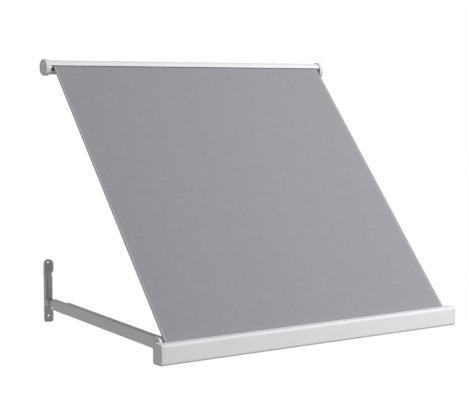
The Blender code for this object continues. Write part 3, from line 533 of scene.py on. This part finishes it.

# %% [markdown]
# When the awning closes, the bar rises on its arms, and the cloth between roller and bar goes from
# 1.4 m to 0.12 m and hangs steeper. It bends in two places: where it leaves the roll, and at the
# top of the bar's slot. The strip is cut there, so that its ends keep their direction inside the
# cassette and the slot.

# %% Where the cloth bends
swing = joints["arm_left_swing"]
pivot = Vector(swing["pos_m"][1:])
bar_joint = Vector(joints["bar_tilt"]["pos_m"][1:])
closing = Matrix.Rotation(-math.radians(swing["range_deg"][1]), 2)
travel = bar_joint - (pivot + closing @ (bar_joint - pivot))
slot_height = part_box("bar_profile")[1].z + SEAT
slot_point = enter_point - along * (slot_height - enter_point.y) / -along.y
closed_angle = run_direction(slot_point - travel, 0.0)
bend_point = leave_point + along * roll_radius * math.tan(abs(run_angle - closed_angle) / 2)

# %% [markdown]
# A grid of faces follows each part of the path, and a solidify modifier gives it the cloth's
# thickness. A cut edge of cloth is sharp, so a last modifier splits the shading there. The
# straight run needs many rows, because it shortens as the cloth winds up.

# %% Make the three parts of the cloth
ROLL_ROWS = 90
RUN_ROWS = 60
HEM_ROWS = 40
SHORT_COLUMNS = 8
RUN_COLUMNS = 60
CUT_EDGE_ANGLE = math.radians(40)
cloth_finish = woven_acrylic(run_angle)
print("made", cloth_finish.name)


def cloth_part(name, path, columns):
    """A strip of cloth over the whole width that follows a path of (y, z) points."""
    mesh = bpy.data.meshes.new(name)
    shape = bmesh.new()
    rows = []
    for point in path:
        row = []
        for column in range(columns + 1):
            across = fabric_low.x + (fabric_high.x - fabric_low.x) * column / columns
            row.append(shape.verts.new((across, point.x, point.y)))
        rows.append(row)
    for first, second in zip(rows, rows[1:]):
        for column in range(columns):
            shape.faces.new((first[column], first[column + 1], second[column + 1], second[column]))
    bmesh.ops.recalc_face_normals(shape, faces=shape.faces)
    shape.to_mesh(mesh)
    shape.free()
    mesh.shade_smooth()
    mesh.materials.append(cloth_finish)
    piece = bpy.data.objects.new(name, mesh)
    bpy.context.scene.collection.objects.link(piece)
    thick = piece.modifiers.new("cloth thickness", "SOLIDIFY")
    thick.thickness = CLOTH
    thick.offset = 0
    crisp = piece.modifiers.new("crisp edges", "EDGE_SPLIT")
    crisp.split_angle = CUT_EDGE_ANGLE
    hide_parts("fabric")
    return piece


roll_path = [bend_point] + [
    on_circle(roller_centre, roll_radius, leave_angle - ROLLER_WRAP * row / ROLL_ROWS)
    for row in range(ROLL_ROWS + 1)
]
span_path = [bend_point.lerp(slot_point, row / RUN_ROWS) for row in range(RUN_ROWS + 1)]
hem_path = [slot_point] + [
    on_circle(rod_centre, hem_radius, leave_angle + HEM_WRAP * row / HEM_ROWS)
    for row in range(HEM_ROWS + 1)
]
cloth_roll = cloth_part("cloth_on_roller", roll_path, SHORT_COLUMNS)
cloth_span = cloth_part("cloth_run", span_path, RUN_COLUMNS)
cloth_hem = cloth_part("cloth_hem", hem_path, SHORT_COLUMNS)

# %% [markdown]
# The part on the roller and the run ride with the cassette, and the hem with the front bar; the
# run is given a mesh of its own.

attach(cloth_roll, "cassette")
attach(cloth_hem, "front_bar")
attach(cloth_span, "cassette")
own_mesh(cloth_span)

# %% [markdown]
# Each arm has a torsion spring round its pivot pin. It is a wire: a straight leg on the bracket's
# floor, two coils, and a leg that presses on a lug of the arm. A curve with a round bevel draws
# it.
# The wire and the coil are given by their radii, the droop is the slope of the arm when let out,
# and the room for the wire, from the coil's first end to its last, is measured sideways from the
# awning's middle.

# %% Springs
WIRE = 1.2 * MM
COIL = 8.6 * MM
TURNS = 2
STEPS_PER_TURN = 32
LEG = 45 * MM
ARM_LEG = 49 * MM
DROOP = math.radians(1.625)
WIRE_ROOM = (709.1 * MM, 715.4 * MM)


def wire_points(side):
    """The wire's line: steps sideways from the awning's middle, and (y, z) from the pivot."""
    low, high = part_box("arm_spring_" + side)
    foot = Vector((high.y - WIRE - pivot.x, LEG))
    start = math.atan2(foot.y, foot.x) - math.acos(COIL / foot.length)
    end = math.pi / 2 + DROOP + 2 * math.pi * TURNS
    points = [(WIRE_ROOM[0], foot.x, foot.y)]
    steps = TURNS * STEPS_PER_TURN
    for index in range(steps + 1):
        angle = start + (end - start) * index / steps
        across = WIRE_ROOM[0] + (WIRE_ROOM[1] - WIRE_ROOM[0]) * index / steps
        points.append((across, COIL * math.cos(angle), COIL * math.sin(angle)))
    last = points[-1]
    tip = Vector((-math.cos(DROOP), -math.sin(DROOP))) * ARM_LEG
    points.append((last[0], last[1] + tip.x, last[2] + tip.y))
    return points


def torsion_spring(side, way):
    """The spring of one arm, built in place round the pivot; way is -1 left and 1 right."""
    points = wire_points(side)
    curve = bpy.data.curves.new("spring_wire_" + side, "CURVE")
    curve.dimensions = "3D"
    curve.bevel_depth = WIRE
    curve.bevel_resolution = 4
    curve.use_fill_caps = True
    spline = curve.splines.new("POLY")
    spline.points.add(len(points) - 1)
    for point, (across, depth, height) in zip(spline.points, points):
        point.co = (way * across, pivot.x + depth, pivot.y + height, 1)
    drawing = bpy.data.objects.new("drawing", curve)
    bpy.context.scene.collection.objects.link(drawing)
    drawn = drawing.evaluated_get(bpy.context.evaluated_depsgraph_get())
    mesh = bpy.data.meshes.new_from_object(drawn)
    bpy.data.objects.remove(drawing)
    mesh.shade_smooth()
    mesh.materials.clear()
    mesh.materials.append(zinc_steel)
    piece = bpy.data.objects.new("spring_" + side, mesh)
    bpy.context.scene.collection.objects.link(piece)
    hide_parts("arm_spring_" + side)
    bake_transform(piece)
    return piece


springs = [torsion_spring(side, way) for side, way in (("left", -1), ("right", 1))]
print("springs:", [len(spring.data.vertices) for spring in springs], "points")

# %% [markdown]
# The world is plain white for the camera and in reflections. The light it sheds is dim all round,
# a little less from below than from above, with two broad soft patches, like white walls: one in
# front and to the left, which lights the sides that face left, and a weaker one behind. A patch
# is given by the way to its middle, how narrow it is, and how strong. What faces up or down in
# the shade stays dark.

# %% World
DIM = (0.11, 0.14)
PATCHES = ((Vector((-0.8, -0.6, 0.0)), 5.0, 0.78), (Vector((0.5, 0.85, 0.15)), 4.0, 0.45))
WHITE = (1, 1, 1, 1)

world = bpy.data.worlds.new("studio")
bpy.context.scene.world = world
world.use_nodes = True
sky = world.node_tree
ray = add(sky, "ShaderNodeLightPath")
place = add(sky, "ShaderNodeTexCoord")
up = add(sky, "ShaderNodeSeparateXYZ", [(0, (place, "Generated"))])
shed = add(
    sky, "ShaderNodeMapRange", [(0, (up, 2)), (1, -1.0), (2, 1.0), (3, DIM[0]), (4, DIM[1])]
)
for towards, sharpness, strength in PATCHES:
    facing = add(
        sky,
        "ShaderNodeVectorMath",
        [(0, (place, "Generated")), (1, towards.normalized())],
        operation="DOT_PRODUCT",
    )
    ahead = add(sky, "ShaderNodeMath", [(0, (facing, "Value")), (1, 0.0)], operation="MAXIMUM")
    patch = add(sky, "ShaderNodeMath", [(0, (ahead, 0)), (1, sharpness)], operation="POWER")
    shed = add(
        sky,
        "ShaderNodeMath",
        [(0, (patch, 0)), (1, strength), (2, (shed, 0))],
        operation="MULTIPLY_ADD",
    )
seen = add(
    sky,
    "ShaderNodeMath",
    [(0, (ray, "Is Camera Ray")), (1, (ray, "Is Glossy Ray"))],
    operation="MAXIMUM",
)
shown = add(
    sky,
    "ShaderNodeMath",
    [(0, (seen, 0)), (1, (ray, "Is Transmission Ray"))],
    operation="MAXIMUM",
)
brightness = add(sky, "ShaderNodeMix", [(0, (shown, 0)), (2, (shed, 0)), (3, 1.0)])
sky.links.new(brightness.outputs[0], sky.nodes["Background"].inputs["Strength"])
sky.nodes["Background"].inputs["Color"].default_value = WHITE
print("world: dim at", DIM, "with", len(PATCHES), "soft patches")

# %% [markdown]
# The awning hangs on a wall that isn't part of it, so the stage is only a pale floor far below, at
# the ground. It glows a little to the eye, so that it meets the white world without a line, and
# sends back little light, so that it doesn't brighten the awning from below. From underneath it
# is clear, which keeps the underside of the awning open to view.

# %% Floor
FLOOR_HEIGHT = -2.1
FLOOR_HALF_SIZE = 40
FLOOR_SEEN = 0.9
FLOOR_SENT_BACK = 0.15
FLOOR_GLOW = 0.75
FLOOR_ROUGHNESS = 0.9

floor_mesh = bpy.data.meshes.new("floor")
shape = bmesh.new()
bmesh.ops.create_grid(shape, x_segments=1, y_segments=1, size=FLOOR_HALF_SIZE)
shape.to_mesh(floor_mesh)
shape.free()
floor = bpy.data.objects.new("floor", floor_mesh)
floor.location.z = FLOOR_HEIGHT
bpy.context.scene.collection.objects.link(floor)
pale = bpy.data.materials.new("pale_floor")
pale.use_nodes = True
tree = pale.node_tree
ray = add(tree, "ShaderNodeLightPath")
shader = tree.nodes["Principled BSDF"]
shader.inputs["Roughness"].default_value = FLOOR_ROUGHNESS
tint = add(
    tree,
    "ShaderNodeMix",
    [(0, (ray, "Is Diffuse Ray")), (6, grey(FLOOR_SEEN)), (7, grey(FLOOR_SENT_BACK))],
    data_type="RGBA",
)
tree.links.new(tint.outputs[2], shader.inputs["Base Color"])
glow = add(tree, "ShaderNodeMix", [(0, (ray, "Is Diffuse Ray")), (2, FLOOR_GLOW), (3, 0.0)])
shader.inputs["Emission Color"].default_value = WHITE
tree.links.new(glow.outputs[0], shader.inputs["Emission Strength"])
face = add(tree, "ShaderNodeNewGeometry")
clear = add(tree, "ShaderNodeBsdfTransparent")
surface = add(
    tree, "ShaderNodeMixShader", [(0, (face, "Backfacing")), (1, (shader, 0)), (2, (clear, 0))]
)
tree.links.new(surface.outputs[0], tree.nodes["Material Output"].inputs["Surface"])
floor_mesh.materials.append(pale)
print("floor at", FLOOR_HEIGHT, "m")

# %% [markdown]
# One large soft lamp stands in front, to the right and above. It lights the tops and the fronts,
# leaves the left sides to the world's patch, and puts the left arm in the cloth's shade.

# %% Lamp
KEY_PLACE = Vector((3.4, -4.8, 3.6))
KEY_AIM = Vector((0.0, -0.5, 0.5))
KEY_SIZE = 3.2
KEY_POWER = 380.0

lamp_data = bpy.data.lights.new("key", "AREA")
lamp_data.shape = "SQUARE"
lamp_data.size = KEY_SIZE
lamp_data.energy = KEY_POWER
lamp = bpy.data.objects.new("key", lamp_data)
lamp.location = KEY_PLACE
lamp.rotation_euler = (KEY_AIM - KEY_PLACE).to_track_quat("-Z", "Y").to_euler()
bpy.context.scene.collection.objects.link(lamp)
print("lamp:", KEY_SIZE, "m square,", KEY_POWER, "W")

# %% [markdown]
# The Standard view transform shows each colour about as it is written. Rounding takes a little off
# the skeleton's edges, and adds nothing to them.

bpy.context.scene.view_settings.view_transform = "Standard"
